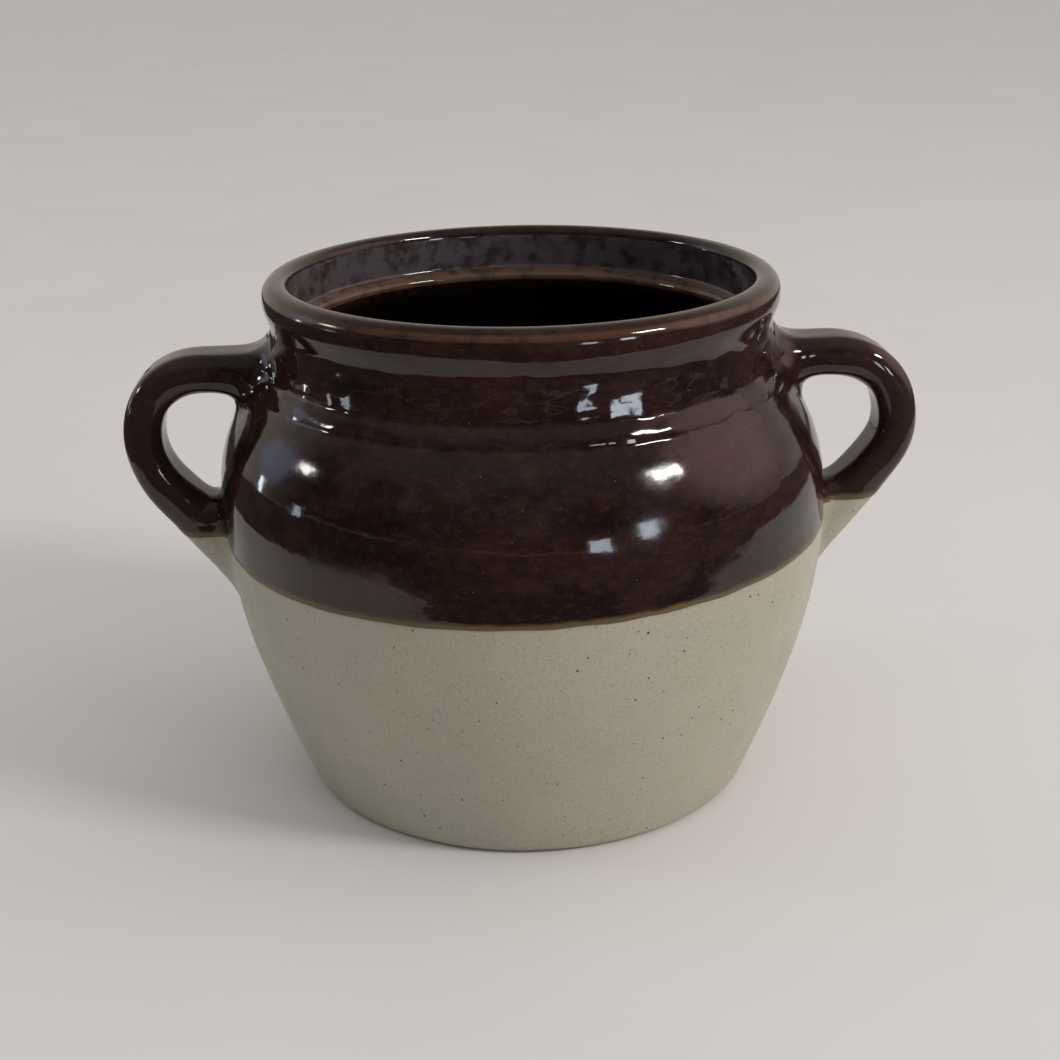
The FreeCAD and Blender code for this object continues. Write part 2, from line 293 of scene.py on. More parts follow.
class Strap:
    """One strap in the XZ plane. The side is +1 along +X and -1 along -X."""

    def __init__(self, name, side, seed, **bend):
        self.name, self.side = name, side
        stations = strap_stations(**bend)
        knots = np.concatenate([[0.0], np.cumsum(np.hypot(*np.diff(stations[:, :2], axis=0).T))])
        self.at = np.linspace(0.0, knots[-1], 260)
        self.x, self.z, self.thick, self.wide = (
            smooth_through(knots, stations[:, i], self.at) for i in range(4))
        along = np.stack([np.gradient(self.x), np.gradient(self.z)], axis=1)
        along /= np.linalg.norm(along, axis=1, keepdims=True)
        self.out_x, self.out_z = -along[:, 1], along[:, 0]
        self.corner = np.minimum(self.thick, self.wide) / 2 * ROUND_SHARE
        self.bumps = waves(seed, 14, (1, 4), (16, 60), 0.11)

    def take(self, values, at):
        return np.interp(at, self.at, values)

    def surface(self, at, marks):
        """Points and outward normals at distances along the strap, one column per mark round it."""
        thick, wide, corner = (self.take(v, at) for v in (self.thick, self.wide, self.corner))
        out_x, out_z = self.take(self.out_x, at), self.take(self.out_z, at)
        free = band(at, 20, self.at[-1] - 36, 12)
        reach = corner + wave_height(self.bumps, marks[:, 2], at) * free
        across = marks[:, 0] * (thick / 2 - corner) + reach * np.cos(marks[:, 2])
        sideways = marks[:, 1] * (wide / 2 - corner) + reach * np.sin(marks[:, 2])
        from_axis = np.minimum(self.take(self.x, at) + out_x * across, REACH - BOX_GAP)
        points = np.stack([from_axis * self.side, sideways,
                           self.take(self.z, at) + out_z * across], axis=-1)
        normals = np.stack([out_x * np.cos(marks[:, 2]) * self.side,
                            np.broadcast_to(np.sin(marks[:, 2]), at.shape),
                            out_z * np.cos(marks[:, 2])], axis=-1)
        return points, normals

    def distance(self, points):
        """Distance of points from the strap's surface, negative inside it."""
        x, y, z = points[:, 0] * self.side, points[:, 1], points[:, 2]
        result = np.empty(len(points))
        for first in range(0, len(points), BATCH):
            part = slice(first, first + BATCH)
            dx, dz = x[part, None] - self.x, z[part, None] - self.z
            near = np.argmin(dx * dx + dz * dz, axis=1)
            rows = np.arange(len(near))
            dx, dz = dx[rows, near], dz[rows, near]
            across = dx * self.out_x[near] + dz * self.out_z[near]
            past = dx * self.out_z[near] - dz * self.out_x[near]
            at = self.at[near] + past
            thick, wide, corner = (self.take(v, at) for v in (self.thick, self.wide, self.corner))
            result[part] = rounded_distance(across, y[part], thick, wide, corner)
        return result


def section_marks():
    """Round the strap's section: the corner's two signs, which may be shares between two corners on
    the flats, and the direction of the outward normal."""
    signs = [(1, 1), (-1, 1), (-1, -1), (1, -1)]
    corner_points, flat_points = 8, 5
    marks = []
    for number, (a, b) in enumerate(signs):
        next_a, next_b = signs[(number + 1) % 4]
        turns = np.linspace(number, number + 1, corner_points) * math.pi / 2
        marks += [(a, b, turn) for turn in turns]
        marks += [(a + (next_a - a) * share, b + (next_b - b) * share, turns[-1])
                  for share in np.linspace(0, 1, flat_points)[1:-1]]
    return np.array(marks)


def pot_distance(points):
    """Distance of points from the outside of the glazed pot, negative inside it."""
    radius, height = np.hypot(points[:, 0], points[:, 1]), points[:, 2]
    line, normals = OUTER_LINE[::3], glazed_normals[:TOP_INDEX + 1:3]
    result = np.empty(len(points))
    for first in range(0, len(points), BATCH):
        part = slice(first, first + BATCH)
        dr = radius[part, None] - line[None, :, 0]
        dz = height[part, None] - line[None, :, 1]
        near = np.argmin(dr * dr + dz * dz, axis=1)
        rows = np.arange(len(near))
        result[part] = dr[rows, near] * normals[near, 0] + dz[rows, near] * normals[near, 1]
        result[part] -= unevenness(np.arctan2(points[part, 1], points[part, 0]), line[near, 1])
    return result


FILLET_ROUNDS = 10                             # halving steps until both surfaces agree


def fillet_size(height):
    """The clay worked into the joint: generous at the collar and under the bend, tight below."""
    return 3.4 + 4.6 * band(height, 75, 200, 8) + 1.4 * band(height, 96, 200, 14)


def fillet_rise(gap, size):
    """How far a surface rises where the other one is a gap away. The two meet in a hollow curve, and
    past the meeting each turns down under the other."""
    meet = size / 4
    rise = (np.sqrt(size) - np.sqrt(np.clip(gap, meet, size))) ** 2
    past = np.clip(meet - gap, 0, size / 2)
    return rise + past - past ** 2 / size


def blended(points, directions, distance):
    """Points moved out along their directions into the fillet with the other surface."""
    size = fillet_size(points[:, 2])
    rise = np.zeros(len(points))
    for _ in range(FILLET_ROUNDS):
        gap = distance(points + directions * rise[:, None])
        rise = (rise + fillet_rise(gap, size)) / 2
    return points + directions * rise[:, None]


STRAPS = [Strap("right_handle", 1, 21, reach=REACH - 25.55, rise=-0.2, square=0.3, tail=5.3),
          Strap("left_handle", -1, 22, reach=REACH - 25.65, rise=0.0, square=1.3, tail=5.8)]


# ---------------------------------------------------------------- rings of the pot
def column_angles():
    """Angles round the pot, close together where the straps join it."""
    reach = math.radians(16)
    fine = np.linspace(-reach, reach, 51)
    coarse = np.linspace(reach, math.pi - reach, 112)[1:-1]
    return np.concatenate([fine, coarse, fine + math.pi, coarse + math.pi])


ANGLES = column_angles()


def dip_height(x, y):
    """The height of the dip line at a place, with the uneven edge that the dipping left."""
    level = DIP_HEIGHT + DIP_SLOPE[0] * x + DIP_SLOPE[1] * y
    return level + wave_height(EDGE_WAVES, np.arctan2(y, x), 0.0)


def dip_along():
    """For each column, the distance along the outline of the dip line."""
    along = np.full(len(ANGLES), float(along_outside(DIP_HEIGHT)))
    for _ in range(4):
        radius, _, _ = outline_at(along)
        along = along_outside(dip_height(radius * np.cos(ANGLES), radius * np.sin(ANGLES)))
    return along


def pot_surface(along, lift, finished=True):
    """A grid of points, one row per ring and one column per angle, at distances along the glazed
    outline and lifted off it. A finished surface has the potter's unevenness and the fillets."""
    along = np.asarray(along, float)
    along = np.broadcast_to(along.reshape(len(along), -1), (len(along), len(ANGLES)))
    lift = np.broadcast_to(np.asarray(lift, float).reshape(-1, 1), along.shape)
    radius, height, normal = outline_at(along)
    normals = np.stack([normal[..., 0] * np.cos(ANGLES), normal[..., 0] * np.sin(ANGLES),
                        normal[..., 1]], axis=-1)
    points = np.stack([radius * np.cos(ANGLES), radius * np.sin(ANGLES), height], axis=-1)
    outside = along < ALONG[TOP_INDEX]
    if finished:
        lift = lift + unevenness(ANGLES, height) * np.where(outside, 1.0, 0.35)
    points = points + normals * lift[..., None]
    if finished:
        points[..., 1] = np.clip(points[..., 1], BOX_GAP - BELLY, BELLY - BOX_GAP)
        points[..., 2] = np.minimum(points[..., 2], RIM_TOP - 0.03)
        for strap in STRAPS:
            # Only the patch round a strap's roots can be part of its fillets.
            near = outside & (points[..., 0] * strap.side > 60) & (np.abs(points[..., 1]) < 26)
            points[near] = blended(points[near], normals[near], strap.distance)
    return points


def steps(start, end, step):
    """Even steps from start to end, without the start."""
    return np.linspace(start, end, max(2, int(abs(end - start) / step) + 1))[1:]


DIP_ALONG = dip_along()
FOOT_ALONG = float(along_outside(FOOT_EDGE))
LEDGE_ALONG = along_inside(OUTER_LINE[-1, 1] - 25)    # below the ledge in the mouth
LAST_ALONG = float(ALONG[-1]) - 3.0            # the last ring of the inside floor
# How the brown coat's edge lies on the pale coat: distance past the dip line, and rise.
BROWN_EDGE = [(-0.9, -0.22), (-0.8, -0.02), (-0.55, 0.09), (0.0, 0.14), (0.8, 0.15), (2.0, 0.11),
              (3.6, 0.04)]
PALE_EDGE = [(-1.6, 0.0), (-0.8, -0.01), (-0.2, -0.06), (0.2, -0.25)]


def faces_between(first, second, count):
    """Faces between two rings of points, from the numbers of their first points."""
    return [(first + i, first + (i + 1) % count, second + (i + 1) % count, second + i)
            for i in range(count)]


def skin(name, grid, poles, material, node):
    """A closed piece through the rings of a grid. Two poles close its ends; without poles its last
    ring joins its first."""
    rings, count, _ = grid.shape
    points = list(grid.reshape(-1, 3))
    faces = []
    for i in range(rings - 1 if poles else rings):
        faces += faces_between(i * count, (i + 1) % rings * count, count)
    for pole, ring in zip(poles or (), (0, rings - 1)):
        points.append(np.asarray(pole, float))
        faces += [(len(points) - 1, ring * count + i, ring * count + (i + 1) % count)
                  for i in range(count)]
    mesh = bpy.data.meshes.new(name)
    mesh.from_pydata((np.array(points) * MM).tolist(), [], faces)
    work = bmesh.new()
    work.from_mesh(mesh)
    bmesh.ops.recalc_face_normals(work, faces=work.faces)
    work.to_mesh(mesh)
    work.free()
    mesh.polygons.foreach_set("use_smooth", [True] * len(mesh.polygons))
    mesh.materials.append(material)
    piece = bpy.data.objects.new(name, mesh)
    bpy.context.collection.objects.link(piece)
    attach(piece, "root")
    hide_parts(node)
    return piece


def make_body(material):
    """The turned clay under both coats, bare at the foot."""
    bare = [along for along in (0.0, 0.6, 1.3, 2.0, 2.8, 3.6) if along < FOOT_ALONG] + [FOOT_ALONG]
    crease = along_outside(116.0)
    covered = np.concatenate([
        steps(FOOT_ALONG + 1.0, crease, 2.5),
        steps(crease, LEDGE_ALONG, 0.8),
        steps(LEDGE_ALONG, LAST_ALONG, 3.0)])
    foot = pot_surface(np.array(bare), -COAT, finished=False)
    sole = [foot[0] * (share, share, 1) for share in (0.2, 0.5, 0.8, 0.95)]
    rest = pot_surface(covered, -UNDER_COAT, finished=False)
    grid = np.concatenate([np.array(sole), foot, rest])
    return skin("crock_clay", grid, [(0, 0, grid[0, 0, 2]), (0, 0, grid[-1, 0, 2])], material,
                "crock_body")


def make_brown_coat(material):
    """The dark coat: from the dip line up the outside, over the rim and down inside to the floor."""
    first = DIP_ALONG + 5.2                    # clear of the coat's edge
    belly, crease, groove, bead = (float(along_outside(height)) for height in (90.0, 116.5, 121.5, 141.0))
    shares = np.linspace(0.0, 1.0, 14)[:, None]
    free = np.concatenate([steps(belly, crease, 1.5), steps(crease, groove, 0.5),
                           steps(groove, bead, 0.9), steps(bead, LEDGE_ALONG, 0.6),
                           steps(LEDGE_ALONG, LAST_ALONG, 3.0)])
    past, rise = np.array(BROWN_EDGE).T
    columns = np.ones(len(ANGLES))
    along = np.concatenate([DIP_ALONG + past[:, None], first + (belly - first) * shares,
                            free[:, None] * columns])
    lift = np.concatenate([rise, np.zeros(len(along) - len(rise))])
    outer = pot_surface(along, lift)
    back_start = DIP_ALONG + past[0]
    # The back is fine where it follows the collar and the rim.
    back_shares = np.concatenate([np.linspace(0, 0.2, 12), steps(0.2, 0.5, 0.0042), steps(0.5, 1, 0.025)])
    back_along = back_start + (LAST_ALONG - back_start) * back_shares[:, None]
    back = pot_surface(back_along, -COAT_DEPTH, finished=False)
    grid = np.concatenate([outer[::-1], back])
    return skin("crock_brown_glaze", grid, [(0, 0, outer[-1, 0, 2]), (0, 0, back[-1, 0, 2])], material,
                "brown_glaze")


def make_pale_coat(material):
    """The pale coat: a band round the lower half, from the bare foot to under the dark edge."""
    past, rise = np.array(PALE_EDGE).T
    columns = np.ones(len(ANGLES))
    low = FOOT_ALONG + np.array([0.0, 0.15, 0.5, 1.0, 1.8])
    low_lift = [-0.3, -0.1, 0.0, 0.0, 0.0]
    roots = float(along_outside(54.0))         # below the straps' lower roots
    free = steps(low[-1], roots, 2.2)
    top = DIP_ALONG + past[0]
    shares = np.linspace(0.0, 1.0, 34)[1:, None]
    along = np.concatenate([low[:, None] * columns, free[:, None] * columns,
                            roots + (top - roots) * shares, DIP_ALONG + past[1:, None]])
    lift = np.concatenate([low_lift, np.zeros(len(along) - len(low) - len(past) + 1), rise[1:]])
    outer = pot_surface(along, lift)
    back_shares = np.linspace(0.0, 1.0, 34)[:, None]
    back_end = DIP_ALONG + past[-1]
    back_along = back_end + (FOOT_ALONG - back_end) * back_shares
    back = pot_surface(back_along, -COAT_DEPTH, finished=False)
    return skin("crock_buff_glaze", np.concatenate([outer, back]), None, material,
                "buff_glaze")


# ---------------------------------------------------------------- the handles
MARKS = section_marks()
ROOT_DEPTH = 2.4                               # how far a strap reaches into the pot's skin


def strap_limits(strap):
    """For each mark, where along the strap it starts in the collar, crosses the dip line and ends."""
    at = np.repeat(np.linspace(0.0, strap.at[-1], 500)[:, None], len(MARKS), axis=1)
    points, _ = strap.surface(at, MARKS)
    gap = pot_distance(points.reshape(-1, 3)).reshape(at.shape)
    middle = int(len(at) * 0.45)               # a row that is in the open on every mark
    x, y, z = np.moveaxis(points, -1, 0)
    below = z < dip_height(x, y)
    below[:middle] = False
    sunk = gap < -ROOT_DEPTH
    start = [at[max(0, middle - 1 - np.argmax(sunk[middle - 1::-1, j])), j] for j in range(len(MARKS))]
    dip = at[np.argmax(below, axis=0), 0]
    sunk[:middle] = False
    end = np.maximum(at[np.argmax(sunk, axis=0), 0], dip + 3.0)
    return np.array(start), dip, end


def strap_shell(name, strap, at, rise, material, node):
    """A closed shell of glaze over a stretch of the strap."""
    points, normals = strap.surface(at, MARKS)
    lifted = points + normals * np.reshape(rise, (-1, 1, 1))
    outer = blended(lifted.reshape(-1, 3), normals.reshape(-1, 3), pot_distance).reshape(points.shape)
    # The back needs only every third ring.
    back = (points - normals * COAT_DEPTH)[::-3]
    return skin(name, np.concatenate([outer, back]), None, material, node)


def make_handle(strap, clay, brown, buff):
    """A strap's three pieces: its brown coat, its buff coat and the clay under both."""
    start, dip, end = strap_limits(strap)
    past, rise = np.array(BROWN_EDGE)[::-1].T
    shares = np.linspace(0.0, 1.0, 110)[:, None]
    run = start + (dip - past[0] - start) * shares
    at = np.concatenate([run, dip - past[1:, None]])
    strap_shell(strap.name + "_brown_glaze", strap, at,
                np.concatenate([np.zeros(len(run)), rise[1:]]), brown, "brown_glaze")
    past, rise = np.array(PALE_EDGE)[::-1].T
    shares = np.linspace(0.0, 1.0, 42)[1:, None]
    top = dip - past[-1]
    at = np.concatenate([dip - past[:, None], top + (end - top) * shares])
    strap_shell(strap.name + "_buff_glaze", strap, at,
                np.concatenate([rise, np.zeros(len(shares))]), buff, "buff_glaze")
    at = start + (end - start) * np.linspace(0.0, 1.0, 60)[:, None]
    points, normals = strap.surface(at, MARKS)
    grid = points - normals * UNDER_COAT
    skin(strap.name + "_clay", grid, [grid[0].mean(axis=0), grid[-1].mean(axis=0)], clay,
         strap.name)


# ---------------------------------------------------------------- materials
class Glaze:
    """One procedural material. Patterns use the object's own coordinates, in metres."""

    def __init__(self, name):
        self.material = bpy.data.materials.new(name)
        self.material.use_nodes = True
        self.tree = self.material.node_tree
        self.shader = self.tree.nodes["Principled BSDF"]
        self.place = self.tree.nodes.new("ShaderNodeTexCoord").outputs["Object"]
        split = self.node("ShaderNodeSeparateXYZ", self.place)
        self.x, self.y, self.z = split.outputs

    def node(self, kind, *inputs, **settings):
        """A new node of this kind, with its first sockets fed in order. None leaves a socket as it is."""
        made = self.tree.nodes.new(kind)
        for key, value in settings.items():
            setattr(made, key, value)
        for socket, value in zip(made.inputs, inputs):
            self.feed(socket, value)
        return made

    def feed(self, socket, value):
        if isinstance(value, bpy.types.NodeSocket):
            self.tree.links.new(value, socket)
        elif value is not None:
            socket.default_value = value

    def math(self, operation, *inputs):
        return self.node("ShaderNodeMath", *inputs, operation=operation).outputs[0]

    def times(self, first, second):
        return self.math("MULTIPLY", first, second)

    def noise(self, size_mm, detail=3.0, stretch=(1, 1, 1), offset=0.0, roughness=0.5):
        """A noise from 0 to 1 with features of about this size."""
        moved = self.node("ShaderNodeMapping", self.place, (offset, offset * 0.7, -offset), None,
                          stretch).outputs[0]
        made = self.node("ShaderNodeTexNoise", moved)
        made.inputs["Scale"].default_value = 1000 / size_mm
        made.inputs["Detail"].default_value = detail
        made.inputs["Roughness"].default_value = roughness
        return made.outputs["Fac"]

    def between(self, value, low, high, out_low=0.0, out_high=1.0):
        """The value's smooth rise from low to high, as out_low to out_high."""
        return self.node("ShaderNodeMapRange", value, low, high, out_low, out_high,
                         interpolation_type="SMOOTHSTEP").outputs[0]

    def ridge(self, value, low, high, soft):
        """1 between low and high, fading to 0 over the soft distance."""
        return self.times(self.between(value, low - soft, low),
                          self.between(value, high, high + soft, 1.0, 0.0))

    def mixed(self, share, first, second):
        """A colour or value between two, by a share from 0 to 1."""
        made = self.tree.nodes.new("ShaderNodeMix")
        made.data_type = "RGBA"
        for socket, value in ((made.inputs[0], share), (made.inputs[6], first), (made.inputs[7], second)):
            self.feed(socket, (*value, 1.0) if isinstance(value, tuple) else value)
        return made.outputs[2]

    def specks(self, cell_mm, size, keep, offset=0.0):
        """Small round marks: one per cell of this size, in the share of cells that keep one."""
        moved = self.node("ShaderNodeMapping", self.place, (offset, offset, offset)).outputs[0]
        made = self.node("ShaderNodeTexVoronoi", moved)
        made.inputs["Scale"].default_value = 1000 / cell_mm
        picked = self.node("ShaderNodeSeparateColor", made.outputs["Color"]).outputs
        radius = self.times(picked[1], size)
        inside = self.between(self.math("SUBTRACT", made.outputs["Distance"], radius), -0.02, 0.02, 1.0, 0.0)
        chosen = self.math("LESS_THAN", picked[0], keep)
        return self.times(inside, chosen)

    def dip_distance(self):
        """Millimetres above the dip plane."""
        level = self.math("ADD", self.times(self.x, DIP_SLOPE[0]), self.times(self.y, DIP_SLOPE[1]))
        above = self.math("SUBTRACT", self.z, level)
        return self.math("SUBTRACT", self.times(above, 1000.0), DIP_HEIGHT)

    def radius_mm(self):
        """Millimetres from the crock's axis."""
        square = self.math("ADD", self.times(self.x, self.x), self.times(self.y, self.y))
        return self.times(self.math("POWER", square, 0.5), 1000.0)

    def height_mm(self):
        """Millimetres above the floor."""
        return self.times(self.z, 1000.0)

    def bump(self, layers):
        """Adds relief. A layer is (height pattern, its height in millimetres)."""
        normal = None
        for pattern, rise in layers:
            made = self.tree.nodes.new("ShaderNodeBump")
            made.inputs["Distance"].default_value = rise * MM
            self.feed(made.inputs["Height"], pattern)
            self.feed(made.inputs["Normal"], normal)
            normal = made.outputs[0]
        self.feed(self.shader.inputs["Normal"], normal)

    def finish(self, colour, roughness):
        """Feeds the shader and gives back the finished material."""
        self.feed(self.shader.inputs["Base Color"], colour)
        self.feed(self.shader.inputs["Roughness"], roughness)
        self.shader.inputs["IOR"].default_value = 1.5
        return self.material


def brown_glaze_material():
    glaze = Glaze("brown glaze")
    height, radius, above = glaze.height_mm(), glaze.radius_mm(), glaze.dip_distance()
    broad = glaze.noise(38, 3, (1, 1, 1.7))
    patches = glaze.noise(12, 4, (1, 1, 1.6), 0.3)
    streaks = glaze.noise(8, 4, (0.35, 0.35, 3.2), 0.6)
    mottle = glaze.noise(3.2, 4, (1, 1, 1.8), 5.1, 0.6)
    grain = glaze.noise(0.7, 3, offset=0.9)
    # Dark brown that breaks to red-brown where the coat is thinner.
    colour = glaze.mixed(glaze.between(broad, 0.38, 0.66), (0.0100, 0.0044, 0.0042), (0.0240, 0.0086, 0.0064))
    colour = glaze.mixed(glaze.between(patches, 0.46, 0.70, 0.0, 0.7), colour, (0.0340, 0.0135, 0.0098))
    colour = glaze.mixed(glaze.between(streaks, 0.55, 0.75, 0.0, 0.5), colour, (0.0070, 0.0042, 0.0048))
    colour = glaze.mixed(glaze.between(mottle, 0.50, 0.68, 0.0, 0.45), colour, (0.0460, 0.0205, 0.0150))
    colour = glaze.mixed(glaze.between(mottle, 0.32, 0.46, 0.55, 0.0), colour, (0.0060, 0.0034, 0.0040))
    # The straps are a little lighter than the pot.
    colour = glaze.mixed(glaze.between(radius, 89, 95, 0.0, 0.65), colour, (0.0350, 0.0165, 0.0140))
    colour = glaze.mixed(glaze.between(grain, 0.58, 0.78, 0.0, 0.40), colour, (0.075, 0.042, 0.032))
    # Painted reflection: pale grey patches on the inner wall of the mouth stand in for the room mirrored in
    # the glaze.
    inside = glaze.between(radius, 67.4, 68.2, 1.0, 0.0)
    wall = glaze.times(glaze.ridge(height, 138.2, 147.6, 0.8), inside)
    painted_room_reflection = glaze.times(wall, glaze.between(glaze.noise(5, 4, offset=3.6), 0.34, 0.60, 0.30, 0.95))
    colour = glaze.mixed(painted_room_reflection, colour, (0.090, 0.078, 0.084))
    # Painted shade: the deep inside is painted nearly black for the shade down in the pot. The parting is a
    # radius that lies within the wall at each height.
    taper = glaze.math("MAXIMUM", glaze.times(glaze.math("SUBTRACT", 119.0, height), 0.56), 0.0)
    parting = glaze.math("MINIMUM", glaze.math("ADD", taper, 69.0), 84.0)
    low = glaze.between(height, 130, 134.6, 1.0, 0.0)
    shaded_inside = glaze.times(glaze.math("LESS_THAN", radius, parting), low)
    colour = glaze.mixed(glaze.times(shaded_inside, 0.85), colour, (0.0015, 0.0010, 0.0010))
    # The glaze runs thin and golden over the edge of the rim and over the ledge.
    ragged = glaze.between(glaze.noise(6, 4, offset=1.2), 0.25, 0.55, 0.25, 1.0)
    rim = glaze.ridge(height, 147.9, 148.7, 0.8)
    rim = glaze.times(rim, glaze.between(radius, 70.2, 71.4))
    thin = glaze.times(rim, ragged)
    colour = glaze.mixed(glaze.times(thin, 0.85), colour, (0.085, 0.040, 0.020))
    ledge = glaze.times(glaze.ridge(height, 134.9, 137.2, 0.8), glaze.ridge(radius, 60.8, 65.6, 0.7))
    colour = glaze.mixed(glaze.times(ledge, glaze.times(ragged, 0.85)), colour, (0.130, 0.072, 0.046))
    # Where the two coats lap, the edge is a thin olive-brown line.
    lap = glaze.math("ADD", above, glaze.between(glaze.noise(7, 3, offset=1.5), 0.2, 0.8, -0.4, 0.4))
    outside = glaze.math("GREATER_THAN", radius, parting)
    olive = glaze.times(outside, glaze.between(lap, 0.1, 1.5, 1.0, 0.0))
    colour = glaze.mixed(glaze.times(olive, 0.9), colour, (0.115, 0.072, 0.024))
    # Dust, and a surface that is worn dull in broad patches.
    dust = glaze.specks(2.6, 0.075, 0.35)
    colour = glaze.mixed(glaze.times(dust, 0.5), colour, (0.26, 0.23, 0.21))
    wear = glaze.between(glaze.noise(21, 4, offset=2.1), 0.40, 0.70, 0.060, 0.14)
    rough = glaze.math("ADD", wear, glaze.times(olive, 0.28))
    rough = glaze.math("ADD", rough, glaze.times(dust, 0.3))
    # The collar is dented all round by the throwing.
    collar = glaze.times(glaze.ridge(height, 119, 140, 3), glaze.between(radius, 69.0, 70.5))
    dents = glaze.times(collar, glaze.noise(8, 2, (1, 1, 1.2), 4.2))
    glaze.bump([(glaze.noise(16, 2, (1, 1, 1.6), 2.4), 0.16), (dents, 0.16),
                (glaze.noise(3.4, 2, offset=2.7), 0.028), (glaze.noise(0.8, 2, offset=3.0), 0.0016)])
    return glaze.finish(colour, rough)


def buff_glaze_material():
    glaze = Glaze("buff glaze")
    above = glaze.dip_distance()
    broad = glaze.noise(45, 3)
    clouds = glaze.noise(11, 4, offset=0.4)
    mottle = glaze.noise(0.8, 3, offset=0.8)
    colour = glaze.mixed(glaze.between(broad, 0.35, 0.65), (0.342, 0.331, 0.256), (0.373, 0.355, 0.274))
    colour = glaze.mixed(glaze.between(clouds, 0.45, 0.75, 0.0, 0.5), colour, (0.325, 0.318, 0.238))
    colour = glaze.mixed(glaze.between(mottle, 0.32, 0.48, 0.40, 0.0), colour, (0.260, 0.238, 0.180))
    colour = glaze.mixed(glaze.between(mottle, 0.52, 0.70, 0.0, 0.36), colour, (0.440, 0.418, 0.332))
    colour = glaze.mixed(glaze.between(glaze.noise(0.45, 2, offset=5.5), 0.30, 0.70), colour,
                         glaze.mixed(0.28, colour, (0.62, 0.56, 0.44)))
    tiny = glaze.specks(1.5, 0.19, 0.42, 0.013)
    colour = glaze.mixed(glaze.times(tiny, 0.6), colour, (0.12, 0.095, 0.07))
    iron = glaze.specks(2.6, 0.15, 0.42, 0.031)
    colour = glaze.mixed(glaze.times(iron, 0.95), colour, (0.030, 0.022, 0.018))
    stain = glaze.between(above, -1.9, -0.4)
    colour = glaze.mixed(glaze.times(stain, 0.3), colour, (0.18, 0.14, 0.08))
    rough = glaze.between(glaze.noise(16, 3, offset=1.1), 0.35, 0.7, 0.36, 0.50)
    glaze.bump([(glaze.noise(9, 2, offset=1.6), 0.05), (glaze.noise(1.3, 2, offset=1.9), 0.008)])
    return glaze.finish(colour, rough)


def clay_material():
    clay = Glaze("bare stoneware")
    colour = clay.mixed(clay.between(clay.noise(2.2, 4), 0.35, 0.65), (0.40, 0.335, 0.25),
                        (0.50, 0.44, 0.345))
    grit = clay.specks(2.4, 0.16, 0.4)
    colour = clay.mixed(clay.times(grit, 0.6), colour, (0.18, 0.14, 0.10))
    clay.bump([(clay.noise(1.1, 4, offset=0.5), 0.05)])
    return clay.finish(colour, clay.between(clay.noise(5, 2, offset=0.8), 0.3, 0.7, 0.82, 0.95))


def floor_material():
    floor = Glaze("pale floor")
    colour = floor.mixed(floor.between(floor.noise(120, 2), 0.3, 0.7), (0.785, 0.770, 0.762),
                         (0.800, 0.786, 0.778))
    floor.shader.inputs["Specular IOR Level"].default_value = 0.0
    return floor.finish(colour, 0.9)


# ---------------------------------------------------------------- the stage
def make_floor():
    mesh = bpy.data.meshes.new("floor")
    reach = 9.0
    mesh.from_pydata([(-reach, -reach, -0.0002), (reach, -reach, -0.0002), (reach, reach, -0.0002),
                      (-reach, reach, -0.0002)], [], [(0, 1, 2, 3)])
    mesh.materials.append(floor_material())
    floor = bpy.data.objects.new("floor", mesh)
    bpy.context.collection.objects.link(floor)


def make_light(name, direction, distance, size, watts, colour):
    """A soft rectangular light that faces the middle of the crock."""
    target = Vector((0, 0, 0.09))
    place = target + Vector(direction).normalized() * distance
    light = bpy.data.lights.new(name, "AREA")
    light.shape = "RECTANGLE"
    light.size, light.size_y = size
    light.energy = watts
    light.color = colour
    lamp = bpy.data.objects.new(name, light)
    facing = (target - place).to_track_quat("-Z", "Y").to_matrix().to_4x4()
    lamp.matrix_world = Matrix.Translation(place) @ facing
    bpy.context.collection.objects.link(lamp)


def make_lights():
    white, sky = (1.0, 0.97, 0.93), (0.80, 0.90, 1.0)
    make_light("lamp_right", (0.71, -0.45, 0.53), 2.0, (0.44, 0.17), 14, white)
    make_light("lamp_left", (-0.93, 0.09, 0.35), 2.0, (0.24, 0.16), 2.6, white)
    make_light("window_right", (0.66, -0.74, 0.10), 2.4, (0.30, 0.42), 4.6, sky)
    make_light("window_front", (0.42, -0.90, 0.01), 2.4, (0.28, 0.40), 2.9, sky)
    make_light("window_left", (-0.92, 0.38, 0.03), 2.4, (0.10, 0.24), 0.9, sky)
    make_light("window_far", (-0.99, 0.02, 0.00), 2.4, (0.16, 0.22), 0.5, sky)


def make_fill():
    """Even light from above for the floor and the matt parts, left out of the reflections."""
    light = bpy.data.lights.new("fill", "SUN")
    light.energy, light.angle = 0.88, math.radians(110)
    light.color = (0.94, 1.0, 0.98)
    fill = bpy.data.objects.new("fill", light)
    fill.rotation_euler = (math.radians(8), math.radians(14), 0)
    fill.visible_glossy = False
    bpy.context.collection.objects.link(fill)


